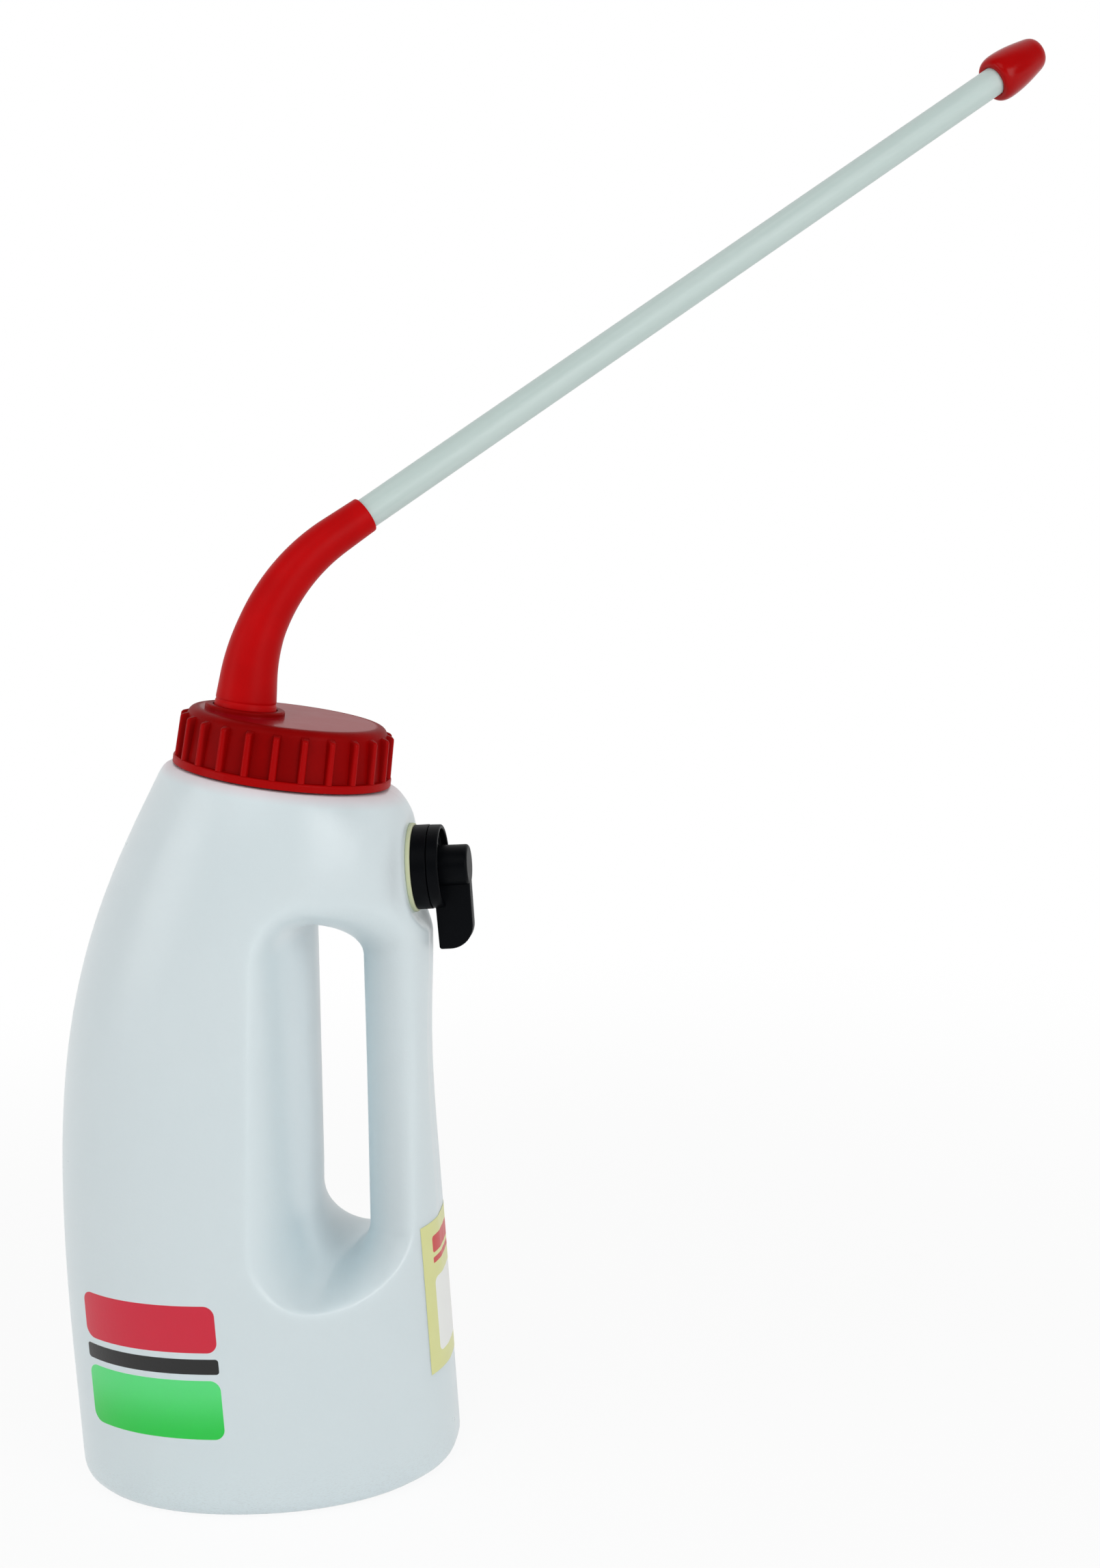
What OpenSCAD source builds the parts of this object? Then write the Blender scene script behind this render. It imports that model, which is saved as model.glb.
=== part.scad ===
// Livestock drencher: blow-moulded bottle with a through handle, ribbed screw cap,
// rubber elbow, stiff probe tube with a bulb tip and a rotary air valve. Millimetres, +Z up.

/* [Bottle body] */
// Length of the body from the front to the handle side
body_length = 183; // [150:1:220]
// Width of the body across the front
body_width = 130; // [105:1:160]
// Wall of the blow-moulded shell
wall = 2.2; // [1.6:0.1:3]
// Radius of the rounded base edge
base_radius = 10; // [6:0.5:16]
// Height where the front starts to lean back
front_lean_z = 60; // [30:1:110]
// How far the shoulder swells out behind the handle
rear_swell = 6; // [0:0.5:10]

/* [Handle] */
// Width of the finger gap
grip_gap = 30; // [22:0.5:36]
// Height of the lowest point of the finger gap
grip_bottom_z = 106; // [90:1:130]
// Height of the highest point of the finger gap
grip_top_z = 266; // [230:1:270]
// Distance from the finger gap's middle to the back of the handle
grip_reach = 45.5; // [39:0.5:53]
// Lean of the finger gap towards the back
grip_lean = 3; // [0:0.5:6]
// Half the depth of the straight wall at the front of the gap
grip_flat = 16; // [6:0.5:22]
// Width of the scooped wall in front of the gap, at its foot
scoop_front = 17; // [12:0.5:24]
// Height of the scooped wall under the gap
scoop_below = 15; // [10:0.5:24]
// Height of the scooped wall over the gap
scoop_above = 16; // [10:0.5:24]

/* [Neck] */
// Height of the middle of the cap's lower edge
neck_z = 333; // [310:1:360]
// Place of the neck behind the middle of the base, as a share of the body's length
neck_share = 0.175; // [0.08:0.005:0.22]
// Tilt of the neck towards the handle
neck_tilt = 11.8; // [0:0.2:16]
// Outside diameter of the neck
neck_od = 84.6; // [70:0.2:92]
// Wall of the neck
neck_wall = 2.7; // [2:0.1:4]
// Gap between the cap's lower edge and the shoulder
shoulder_gap = 1.5; // [0.8:0.1:3]

/* [Cap] */
// Outside diameter of the cap's lower ring
cap_od = 100; // [90:0.5:115]
// Height of the cap to its flat top
cap_height = 26.4; // [22:0.2:34]
// Height of the plain lower ring
ring_height = 3.6; // [2.5:0.1:6]
// Number of finger ribs
rib_count = 24; // [16:1:36]
// Radius of a finger rib
rib_radius = 1.7; // [1:0.1:2.2]
// Thickness of the cap's top
cap_top = 2.6; // [2:0.1:4]
// Radial room between the neck and the cap for the thread
thread_room = 1.9; // [1.2:0.1:2.6]
// Thickness of the cap's sealing ring
seal_thick = 1.8; // [1:0.1:3]

/* [Elbow] */
// Distance from the cap's middle to the spout
spout_offset = 21; // [12:0.5:24]
// Direction of the tube, turned about the neck from the handle side
tube_turn = 30; // [0:1:60]
// Diameter of the elbow's foot
elbow_foot = 28.6; // [27:0.1:34]
// Diameter of the elbow's mouth
elbow_mouth = 17; // [16.4:0.1:20]
// Straight rise of the elbow above the cap
elbow_rise = 15; // [8:0.5:30]
// Radius of the elbow's bend
elbow_radius = 90; // [60:1:120]
// Angle of the elbow's bend
elbow_bend = 49.8; // [30:0.2:80]
// Straight run of the elbow before its mouth
elbow_run = 18; // [10:0.5:30]
// Length of the spigot that the elbow sits on
spigot_length = 14; // [8:0.5:18]
// Outside diameter of the spigot
spigot_od = 21; // [16:0.2:22]

/* [Probe tube] */
// Outside diameter of the tube
tube_od = 14.3; // [13:0.1:14.8]
// Bore of the tube
tube_bore = 10.6; // [8:0.1:12]
// Length of tube that shows between the elbow and the bulb
tube_length = 396; // [250:1:500]
// Depth of the tube in the elbow
elbow_socket = 17; // [10:0.5:24]
// Diameter of the bulb
bulb_od = 23.5; // [21:0.1:28]
// Length of the bulb
bulb_length = 30.6; // [25:0.2:36]
// Depth of the tube in the bulb
bulb_socket = 15; // [8:0.5:18]
// Diameter of the outlet in the bulb
outlet_d = 9; // [6:0.2:10]

/* [Air valve] */
// Height of the valve's axis
valve_z = 285.5; // [278:0.5:292]
// Depth of the valve's seat in the back of the body
valve_inset = 1.2; // [0.4:0.1:3]
// Diameter of the valve
valve_od = 39; // [34:0.5:41]
// Thickness of the fixed flange
flange_thick = 7; // [5:0.5:9]
// Thickness of the outside gasket
gasket_thick = 2; // [1:0.1:3]
// Diameter of the shank through the bottle
shank_od = 30.4; // [26:0.2:31]
// Wall of the shank
shank_wall = 2.2; // [1.6:0.1:3]
// Thickness of the flange's front wall
port_wall = 3; // [2:0.1:4]
// Distance of the air port from the valve's axis
port_radius = 10.9; // [10.7:0.05:11]
// Diameter of the air port
port_d = 3.9; // [3:0.1:4]
// Thickness of the nut
nut_thick = 7; // [5:0.5:9]
// Thickness of the inside washer
washer_thick = 1.5; // [1:0.1:3]

/* [Selector lever] */
// Depth of the rotating cup
cup_depth = 5.2; // [4:0.1:7]
// Thickness of the cup's floor
cup_floor = 1.8; // [1.4:0.1:2.6]
// Wall of the cup's rim
cup_rim = 2; // [1.4:0.1:3]
// Diameter of the boss
boss_d = 17.6; // [14:0.2:17.6]
// Length of the boss in front of the rim
boss_length = 12; // [8:0.2:16]
// Distance from the axis to the end of the thumb blade
blade_reach = 38.5; // [30:0.5:46]
// Thickness of the thumb blade
blade_thick = 8; // [5:0.5:11]
// Diameter of the lever's screw
screw_d = 4; // [3:0.1:5]
// Diameter of the spring wire
wire_d = 0.9; // [0.6:0.05:1.2]
// Number of the spring's turns
spring_turns = 4; // [3:1:6]

/* [Fits] */
// Gap between the fixed flange and the rotating cup
turn_gap = 0.3; // [0.2:0.05:0.6]
// Radial room of the screw in its hub
run_fit = 0.08; // [0.02:0.01:0.1]
// Gap round pieces that are fitted by hand
hand_fit = 0.3; // [0.1:0.05:0.5]

/* [Hidden] */
// Smooth curves
$fn = 96;
// Steps round the side, the ends and the foot of the finger gap
side_steps = 8;
foot_side_steps = 5;
foot_base_steps = 8;
// Ring places from the gap to the scoop's edge, and on to the outline
scoop_rings = [0.02, 0.1, 0.25, 0.5, 0.78, 1];
body_rings = [0.12, 0.28, 0.46, 0.63, 0.78, 0.885, 0.955, 0.988, 1];
// Sides of the elbow and steps of its bend
elbow_sides = 24;
bend_steps = 12;

// Bottle outline in the symmetry plane
neck_r = neck_od / 2;
shoulder_r = neck_r + 4;
front_x = -body_length / 2 - 0.5;
rear_x = body_length / 2 - 1;
neck_x = neck_share * body_length;
valve_seat_x = rear_x - valve_inset;
neck_c = cos(neck_tilt);
neck_s = sin(neck_tilt);
// Middle of the neck's foot, and its front and rear edges
foot_x = neck_x - shoulder_gap * neck_s;
foot_z = neck_z - shoulder_gap * neck_c;
foot_front = [foot_x - shoulder_r * neck_c, foot_z + shoulder_r * neck_s];
foot_rear = [foot_x + shoulder_r * neck_c, foot_z - shoulder_r * neck_s];
swell_x = rear_x + rear_swell;
swell_z = valve_z - 22;

function bezier(p, t) =
    p[0] * pow(1 - t, 3) + p[1] * 3 * t * pow(1 - t, 2) + p[2] * 3 * t * t * (1 - t) + p[3] * pow(t, 3);
function curve(p, n) = [for (i = [0:n]) bezier(p, i / n)];
function flip(list) = [for (p = list) [p[1], p[0]]];

// The front leans back to the shoulder, which rounds over to the neck's foot
crown = foot_front - [14, 10];
lean = crown[1] - front_lean_z;
front_curve = curve([[front_x, front_lean_z], [front_x, front_lean_z + 0.535 * lean],
    [front_x + 0.29 * (crown[0] - front_x), front_lean_z + 0.727 * lean], crown], 40);
crown_curve = curve([crown, crown + [3.5, 5.6], foot_front - [5, 0.2], foot_front], 8);
swell_from = 0.56 * valve_z;
rise = swell_z - swell_from;
rear_low = curve([[rear_x, swell_from], [rear_x, swell_from + 0.58 * rise],
    [swell_x - 1, swell_from + 0.67 * rise], [swell_x, swell_z]], 24);
drop = foot_rear[1] - swell_z;
rear_top = curve([[swell_x, swell_z], [swell_x, swell_z + 0.55 * drop],
    [swell_x - 5, foot_rear[1] - 5], foot_rear], 20);
half_w = body_width / 2;
width_curve = curve([[half_w, 0.5 * neck_z], [half_w, 0.77 * neck_z], [half_w - 5, 0.92 * neck_z],
    [shoulder_r, foot_z]], 30);
front_table = concat([[0, front_x]], flip(front_curve),
    [for (i = [1:8]) [crown_curve[i][1], crown_curve[i][0]]]);
rear_low_table = flip(rear_low);
rear_table = concat([[0, rear_x]], rear_low_table, [for (i = [1:20]) [rear_top[i][1], rear_top[i][0]]]);
width_table = concat([[0, half_w]], flip(width_curve));

// How far the rounded base edge draws in at a height above the floor of the form
function edge_in(z, r) = z >= r ? 0 : r - sqrt(max(r * r - pow(r - z, 2), 0));
function front_at(z, e) = lookup(z, front_table) + e + edge_in(z - e, base_radius - e);
function rear_at(z, e) = lookup(z, rear_table) - e - edge_in(z - e, base_radius - e);
function width_at(z, e) = lookup(z, width_table) - e - edge_in(z - e, base_radius - e);
// Height of a point over the neck's foot plane, drawn in by e
function over_neck(p, e) = (p[0] - foot_x) * neck_s + (p[1] - foot_z) * neck_c + e;
function inside(p, e) = p[1] >= e && over_neck(p, e) <= 0 && p[0] >= front_at(p[1], e)
    && p[0] <= rear_at(p[1], e);

// Slanted sections run from level on the base to the tilt of the neck
function section(v, e) = let (zf = v * (foot_front[1] - e), zr = v * (foot_rear[1] - e))
    [[front_at(max(zf, e), e), max(zf, e)], [rear_at(max(zr, e), e), max(zr, e)]];
function above(p, s) = (s[1][0] - s[0][0]) * (p[1] - s[0][1]) - (s[1][1] - s[0][1]) * (p[0] - s[0][0]);
function level(p, e, lo = 0, hi = 1, n = 16) = n == 0 ? (lo + hi) / 2
    : let (m = (lo + hi) / 2) above(p, section(m, e)) > 0 ? level(p, e, m, hi, n - 1)
    : level(p, e, lo, m, n - 1);
// Half the body's width at a point of the symmetry plane
function rear_power(v) = v < 0.45 ? 2.1 : v < 0.85 ? 2.1 - 0.45 * (v - 0.45) / 0.4
    : 1.65 + 0.35 * (v - 0.85) / 0.15;
function half_width(p, e) = let (
        v = level(p, e),
        s = section(v, e),
        u = 2 * (p[0] - s[0][0]) / (s[1][0] - s[0][0]) - 1,
        n = u < 0 ? 2.1 - 0.1 * v : rear_power(v),
        w = width_at(v * foot_z, e))
    w * pow(max(1 - pow(min(abs(u), 1), n), 0), 1 / n);

// Finger gap, scoop edge and outline, walked round together
grip_r = grip_gap / 2;
grip_mid = [rear_x - grip_reach, (grip_bottom_z + grip_top_z) / 2];
grip_dir = [sin(grip_lean), cos(grip_lean)];
grip_half = (grip_top_z - grip_bottom_z) / 2 - grip_r;
scoop_rear = grip_reach - 4;
function turn(a) = [cos(a - grip_lean), sin(a - grip_lean)];
// Below the gap the walk aims at points down the front, along the base and up the back
foot_mid = grip_mid - grip_dir * grip_half;
side_drop = foot_mid[1] - base_radius;
corners = [0, 30, 55, 75];
foot_aims = concat(
    [for (i = [0:foot_side_steps - 1]) [front_x, foot_mid[1] - side_drop * i / foot_side_steps]],
    [for (a = corners) [front_x + base_radius * (1 - cos(a)), base_radius * (1 - sin(a))]],
    [for (i = [0:foot_base_steps]) [front_x + base_radius + 1.5
        + (rear_x - front_x - 2 * base_radius - 3) * i / foot_base_steps, 0]],
    [for (i = [3:-1:0]) [rear_x - base_radius * (1 - cos(corners[i])), base_radius * (1 - sin(corners[i]))]],
    [for (i = [1:foot_side_steps - 1]) [rear_x, base_radius + side_drop * i / foot_side_steps]]);
// Above the gap it aims at points up the back, over the neck's foot and down the front
top_mid = grip_mid + grip_dir * grip_half;
top_aims = concat(
    [for (i = [0:2:20]) if (rear_top[i][1] > top_mid[1] + 3) rear_top[i]],
    [for (i = [1:4]) foot_rear + (foot_front - foot_rear) * i / 5],
    [for (i = [8:-2:0]) crown_curve[i]],
    [for (i = [37:-3:1]) if (front_curve[i][1] > top_mid[1] + 3) front_curve[i]]);
function aim_angle(p, mid) = let (d = p - mid, a = atan2(d[1], d[0]) + grip_lean) a <= 0 ? a + 360 : a;
// Each stop: angle, place along the gap from 0 at the foot to 1 at the top, aim on the outline
stops = concat(
    [for (i = [0:side_steps - 1]) [0, i / side_steps]],
    [[0, 1]],
    [for (p = top_aims) [min(aim_angle(p, top_mid), 180), 1, p]],
    [for (i = [0:side_steps - 1]) [180, 1 - i / side_steps]],
    [for (p = foot_aims) [max(aim_angle(p, foot_mid), 180), 0, p]]);
function stop_mid(s) = grip_mid + grip_dir * (2 * s[1] - 1) * grip_half;
function scoop_at(s, e) = let (
        front = grip_r + scoop_front - 6.5 * s[1],
        across = cos(s[0]) > 0 ? scoop_rear : front,
        up = sin(s[0]) > 0 ? grip_r + scoop_above : grip_r + scoop_below,
        k = 0.8 * e,
        x = (across + (cos(s[0]) > 0 ? -k : k)) * cos(s[0]),
        z = (up + k) * sin(s[0]))
    stop_mid(s) + x * [cos(grip_lean), -sin(grip_lean)] + z * grip_dir;
function reach(p, d, e, lo = 0, hi = 400, n = 24) = n == 0 ? lo
    : let (m = (lo + hi) / 2) inside(p + m * d, e) ? reach(p, d, e, m, hi, n - 1)
    : reach(p, d, e, lo, m, n - 1);
// Roundness of the scoop's wall: full on the handle, lean at the front
function roundness(a) = cos(a) > 0 ? 1.5 + 0.9 * cos(a) : 1.4 + 0.1 * max(sin(a), 0);
// Half the depth of the gap's straight wall: deep at the front, little on the handle
function straight_wall(a) = grip_flat * (0.58 - 0.42 * cos(a));
function half_loop(s, e) = let (
        h = stop_mid(s) + (grip_r + e) * turn(s[0]),
        c = scoop_at(s, e),
        d = is_undef(s[2]) ? turn(s[0]) : (s[2] - c) / norm(s[2] - c),
        o = c + max(reach(c, d, e) - 0.4, 0.5) * d,
        o2 = o[1] < 0.5 + e ? [o[0], e] : o,
        y = half_width(c, e),
        f = straight_wall(s[0]),
        p = roundness(s[0]))
    concat([for (q = scoop_rings) let (m = h + q * (c - h))
            [m[0], f + (y - f) * pow(1 - pow(1 - q, p), 1 / p), m[1]]],
        [for (q = body_rings) let (m = c + q * (o2 - c)) [m[0], max(half_width(m, e), 1), m[1]]]);
function mirror_back(list) = [for (i = [len(list) - 1:-1:0]) [list[i][0], -list[i][1], list[i][2]]];
function loop(s, e) = let (h = half_loop(s, e)) concat(h, mirror_back(h));

module ring_form(e) {
    n = len(stops);
    m = 2 * (len(scoop_rings) + len(body_rings));
    points = [for (s = stops) each loop(s, e)];
    faces = [for (i = [0:n - 1], j = [0:m - 1]) let (a = i * m + j, b = i * m + (j + 1) % m,
        c = ((i + 1) % n) * m + (j + 1) % m, d = ((i + 1) % n) * m + j) each [[a, b, c], [a, c, d]]];
    polyhedron(points, faces, convexity = 8);
}

// Places on the neck, at the spout, at the tube and on the valve
module at_neck() {
    translate([neck_x, 0, neck_z])
        rotate([0, neck_tilt, 0])
            children();
}

module at_spout() {
    at_neck()
        rotate([0, 0, tube_turn])
            translate([-spout_offset, 0, cap_height])
                children();
}

mouth_x = elbow_radius * (1 - cos(elbow_bend)) + elbow_run * sin(elbow_bend);
mouth_z = elbow_rise + elbow_radius * sin(elbow_bend) + elbow_run * cos(elbow_bend);

module at_tube() {
    at_spout()
        translate([mouth_x, 0, mouth_z])
            rotate([0, elbow_bend, 0])
                children();
}

module at_valve() {
    translate([valve_seat_x, 0, valve_z])
        rotate([0, 90, 0])
            children();
}

// Cap heights
liner_z = cap_height - cap_top;
rim_z = liner_z - seal_thick;
cap_bore_r = neck_r + thread_room;
cap_r = cap_od / 2;
skirt_r = cap_r - 2.8;
skirt_top_r = skirt_r - 1.6;
edge_r = 4;

// Valve places along its axis, from the seat outwards
seat_r = valve_od / 2 + 2.8;
pad_wall = 2.5;
flange_z = gasket_thick;
face_z = flange_z + flange_thick;
cup_z = face_z + turn_gap;
rim_front_z = cup_z + cup_depth;
boss_end_z = rim_front_z + boss_length;
shank_r = shank_od / 2;
washer_r = shank_r + 3.6;
nut_r = shank_r + 4.2;
relief_r = nut_r + 0.6;
pad_r = relief_r + wall;
nut_z = -pad_wall - washer_thick - nut_thick;
relief_z = nut_z - 3;
shank_end_z = nut_z - 2;
port_back_z = face_z - port_wall;
hub_r = screw_d / 2 + 3;
hub_z = port_back_z - 8;
screw_r = screw_d / 2;
spring_r = screw_r + 0.6 + wire_d;
spring_length = 8;
spring_washer_z = hub_z - spring_length - 1;
screw_end_z = boss_end_z - 5;
ring_d = 1.5;

module bottle() {
    color("#d3dadb")
    difference() {
        union() {
            ring_form(0);
            at_neck()
                translate([0, 0, -shoulder_gap - 3])
                    cylinder(h = rim_z + shoulder_gap + 3, r = neck_r);
            at_valve()
                translate([0, 0, relief_z])
                    cylinder(h = -relief_z, r = pad_r);
        }
        difference() {
            ring_form(wall);
            at_valve()
                translate([0, 0, -pad_wall])
                    cylinder(h = 40, r = seat_r + wall);
        }
        at_valve()
            translate([0, 0, relief_z - 1])
                cylinder(h = 1 - relief_z - pad_wall, r = relief_r);
        at_neck()
            translate([0, 0, -shoulder_gap - wall - 6])
                cylinder(h = rim_z + shoulder_gap + wall + 7, r = neck_r - neck_wall);
        at_valve()
            cylinder(h = 40, r = seat_r);
        at_valve()
            translate([0, 0, -pad_wall - 1])
                cylinder(h = pad_wall + 2, r = shank_r + hand_fit);
    }
}

module screw_cap() {
    color("#b3100f")
    difference() {
        union() {
            at_neck()
                rotate_extrude()
                    cap_profile();
            at_neck()
                cap_ribs();
            at_spout()
                cylinder(h = 2.6, r = elbow_foot / 2 + 3.8);
            at_spout()
                cylinder(h = spigot_length, r = spigot_od / 2);
        }
        at_spout()
            difference() {
                cylinder(h = 4, r = elbow_foot / 2 + hand_fit);
                translate([0, 0, -1])
                    cylinder(h = 6, r = spigot_od / 2);
            }
        at_spout()
            translate([0, 0, -cap_top - 1])
                cylinder(h = cap_top + spigot_length + 2, r = spigot_od / 2 - 2);
    }
}

module cap_profile() {
    arc = [for (a = [0:15:90])
        [skirt_top_r - edge_r + edge_r * cos(a), cap_height - edge_r + edge_r * sin(a)]];
    polygon(concat([[cap_bore_r, 0], [cap_r, 0], [cap_r, ring_height - 0.8], [cap_r - 0.8, ring_height],
        [skirt_r, ring_height]], arc, [[0, cap_height], [0, liner_z], [cap_bore_r, liner_z]]));
}

module cap_ribs() {
    rib_z = cap_height - 5;
    for (i = [0:rib_count - 1])
        rotate([0, 0, 360 * (i + 0.5) / rib_count])
            translate([skirt_r - 0.3, 0, ring_height - 1]) {
                cylinder(h = rib_z - ring_height + 1, r = rib_radius, $fn = 24);
                translate([0, 0, rib_z - ring_height + 1])
                    sphere(r = rib_radius, $fn = 24);
            }
}

module cap_gasket() {
    color("#d8d3c4")
    at_neck()
        translate([0, 0, rim_z])
            difference() {
                cylinder(h = seal_thick, r = cap_bore_r - hand_fit);
                translate([0, 0, -1])
                    cylinder(h = seal_thick + 2, r = neck_r - neck_wall - 1.5);
            }
}

// Elbow: a tapered rubber tube swept along a rise, a bend and a run
elbow_length = elbow_rise + elbow_radius * elbow_bend * PI / 180 + elbow_run;
flare_length = 25;
function elbow_point(s) = let (
        a = (s - elbow_rise) * 180 / (PI * elbow_radius),
        r = s - elbow_length + elbow_run)
    s <= elbow_rise ? [0, s, 0]
    : r <= 0 ? [elbow_radius * (1 - cos(a)), elbow_rise + elbow_radius * sin(a), a]
    : [elbow_radius * (1 - cos(elbow_bend)) + r * sin(elbow_bend),
        elbow_rise + elbow_radius * sin(elbow_bend) + r * cos(elbow_bend), elbow_bend];
throat = 23.4;
// The tube only goes into the straight run
tube_in = min(elbow_socket, elbow_run - 1);
function elbow_outer(s) = elbow_mouth / 2 + (throat - elbow_mouth) / 2 * (1 - s / elbow_length)
    + (elbow_foot - throat) / 2 * max(0, 1 - s / flare_length);
function elbow_ring(s, r) = let (p = elbow_point(s))
    [for (i = [0:elbow_sides - 1]) let (a = 360 * i / elbow_sides, x = r * cos(a))
        [p[0] + x * cos(p[2]), r * sin(a), p[1] - x * sin(p[2])]];

module elbow() {
    socket_s = elbow_length - tube_in - hand_fit;
    bend_end = elbow_length - elbow_run;
    bend_s = [for (i = [0:bend_steps]) elbow_rise + (bend_end - elbow_rise) * i / bend_steps];
    outer_s = concat([0, elbow_rise / 2], bend_s, [bend_end + elbow_run / 2, elbow_length]);
    bore_r = tube_bore / 2;
    seat_bore = spigot_od / 2 + hand_fit;
    socket_r = tube_od / 2 + hand_fit;
    free_s = [for (s = bend_s) if (s > spigot_length + 8 && s < socket_s - 4) s];
    inner = concat([[elbow_length, socket_r], [socket_s, socket_r], [socket_s, bore_r]],
        [for (i = [len(free_s) - 1:-1:0]) [free_s[i], bore_r + (seat_bore - 2 - bore_r)
            * (1 - (free_s[i] - spigot_length) / (socket_s - spigot_length))]],
        [[spigot_length + hand_fit, seat_bore - 2], [spigot_length + hand_fit, seat_bore], [0, seat_bore]]);
    rings = concat([for (s = outer_s) elbow_ring(s, elbow_outer(s))],
        [for (q = inner) elbow_ring(q[0], q[1])]);
    n = elbow_sides;
    k = len(rings);
    faces = [for (i = [0:k - 1], j = [0:n - 1]) let (a = i * n + j, b = i * n + (j + 1) % n,
        c = ((i + 1) % k) * n + (j + 1) % n, d = ((i + 1) % k) * n + j) each [[a, c, b], [a, d, c]]];
    color("#b5110f")
    at_spout()
        polyhedron([for (r = rings) each r], faces, convexity = 6);
}

module probe_tube() {
    color("#dfe6df")
    at_tube()
        translate([0, 0, -tube_in])
            difference() {
                cylinder(h = tube_in + tube_length + bulb_socket, r = tube_od / 2);
                translate([0, 0, -1])
                    cylinder(h = tube_in + tube_length + bulb_socket + 2, r = tube_bore / 2);
            }
}

// Bulb: broad rounded rear, slim taper and a round nose
bulb_r = bulb_od / 2;
bulb_rear_r = 0.76 * bulb_r;
bulb_side = concat(
    curve([[bulb_rear_r, 0], [0.93 * bulb_r, 0], [bulb_r, 0.08 * bulb_length],
        [bulb_r, 0.2 * bulb_length]], 8),
    curve([[bulb_r, 0.2 * bulb_length], [bulb_r, 0.45 * bulb_length], [0.86 * bulb_r, 0.68 * bulb_length],
        [0.77 * bulb_r, 0.85 * bulb_length]], 10),
    curve([[0.77 * bulb_r, 0.85 * bulb_length], [0.7 * bulb_r, 0.97 * bulb_length],
        [0.6 * bulb_r, bulb_length], [outlet_d / 2, bulb_length]], 8));

module bulb_tip() {
    socket_r = tube_od / 2 + 0.05;
    keep = [for (i = [0:len(bulb_side) - 1]) if (i != 9 && i != 20) bulb_side[i]];
    color("#b5110f")
    at_tube()
        translate([0, 0, tube_length])
            rotate_extrude()
                polygon(concat([[outlet_d / 2, bulb_socket], [socket_r, bulb_socket], [socket_r, 0]], keep));
}

module valve_body() {
    color("#17181b")
    at_valve()
        difference() {
            union() {
                rotate_extrude()
                    polygon([[0, flange_z], [valve_od / 2, flange_z], [valve_od / 2, face_z - 0.4],
                        [valve_od / 2 - 0.4, face_z], [0, face_z]]);
                translate([0, 0, shank_end_z])
                    cylinder(h = flange_z - shank_end_z + 1, r = shank_r);
            }
            difference() {
                translate([0, 0, shank_end_z - 1])
                    cylinder(h = port_back_z - shank_end_z + 1, r = shank_r - shank_wall);
                translate([0, 0, hub_z])
                    cylinder(h = 30, r = hub_r);
            }
            translate([0, 0, hub_z - 1])
                cylinder(h = 40, r = screw_r + run_fit);
            translate([0, 0, face_z - ring_d])
                cylinder(h = 10, r = screw_r + ring_d + 0.2);
            translate([0, port_radius, port_back_z - 1])
                cylinder(h = port_wall + 2, r = port_d / 2);
            translate([0, port_radius, face_z - ring_d + 0.2])
                cylinder(h = 10, r = port_d / 2 + ring_d);
        }
}

module valve_gasket() {
    color("#ddd7b0")
    at_valve()
        difference() {
            cylinder(h = gasket_thick, r = valve_od / 2 + 1);
            translate([0, 0, -1])
                cylinder(h = gasket_thick + 2, r = shank_r + hand_fit);
        }
}

module valve_washer() {
    color("#3b3d40")
    at_valve()
        translate([0, 0, -pad_wall - washer_thick])
            difference() {
                cylinder(h = washer_thick, r = washer_r);
                translate([0, 0, -1])
                    cylinder(h = washer_thick + 2, r = shank_r + hand_fit);
            }
}

module valve_nut() {
    color("#202226")
    at_valve()
        translate([0, 0, nut_z])
            difference() {
                cylinder(h = nut_thick, r = nut_r, $fn = 6);
                translate([0, 0, -1])
                    cylinder(h = nut_thick + 2, r = shank_r + 0.1);
            }
}

// Metering holes of the three speeds, each turned on from the closed place
speeds = port_d * [0.4, 0.66, 0.92];

module selector_lever() {
    rim_r = valve_od / 2 - 0.2;
    tip_r = 11;
    outer = boss_end_z;
    color("#17181b")
    at_valve()
        difference() {
            union() {
                rotate_extrude()
                    polygon([[0, cup_z], [rim_r - 0.4, cup_z], [rim_r, cup_z + 0.4],
                        [rim_r - 0.3, rim_front_z - 0.8], [rim_r - 0.9, rim_front_z],
                        [rim_r - cup_rim + 0.6, rim_front_z], [rim_r - cup_rim, rim_front_z - 0.6],
                        [rim_r - cup_rim, cup_z + cup_floor], [boss_d / 2 + 0.3, cup_z + cup_floor],
                        [boss_d / 2, cup_z + cup_floor + 0.3], [boss_d / 2, boss_end_z - 0.8],
                        [boss_d / 2 - 0.8, boss_end_z], [0, boss_end_z]]);
                translate([0, blade_thick / 2, 0])
                    rotate([90, 0, 0])
                        linear_extrude(blade_thick)
                            polygon(concat([[0, cup_z + 1], [blade_reach - 1, cup_z + 1],
                                [blade_reach, cup_z + 2]],
                                [for (a = [0:10:90]) [blade_reach - tip_r + tip_r * cos(a),
                                    outer - tip_r + tip_r * sin(a)]],
                                [[0, outer]]));
            }
            translate([0, 0, cup_z - 1])
                cylinder(h = screw_end_z - cup_z + 2, r = screw_r + 0.02);
            for (i = [0:2])
                rotate([0, 0, 90 + 60 * (i + 1)])
                    translate([port_radius, 0, cup_z - 1])
                        cylinder(h = cup_floor + 3, r = speeds[i] / 2);
        }
}

module port_seal() {
    color("#2a2a2a")
    at_valve()
        translate([0, port_radius, face_z - ring_d / 2 + 0.2])
            rotate_extrude()
                translate([port_d / 2 + ring_d / 2, 0])
                    circle(r = ring_d / 2 - 0.02, $fn = 24);
}

module stem_oring() {
    color("#2a2a2a")
    at_valve()
        translate([0, 0, face_z - ring_d / 2])
            rotate_extrude()
                translate([screw_r + 0.15 + ring_d / 2, 0])
                    circle(r = ring_d / 2 - 0.05, $fn = 24);
}

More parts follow.
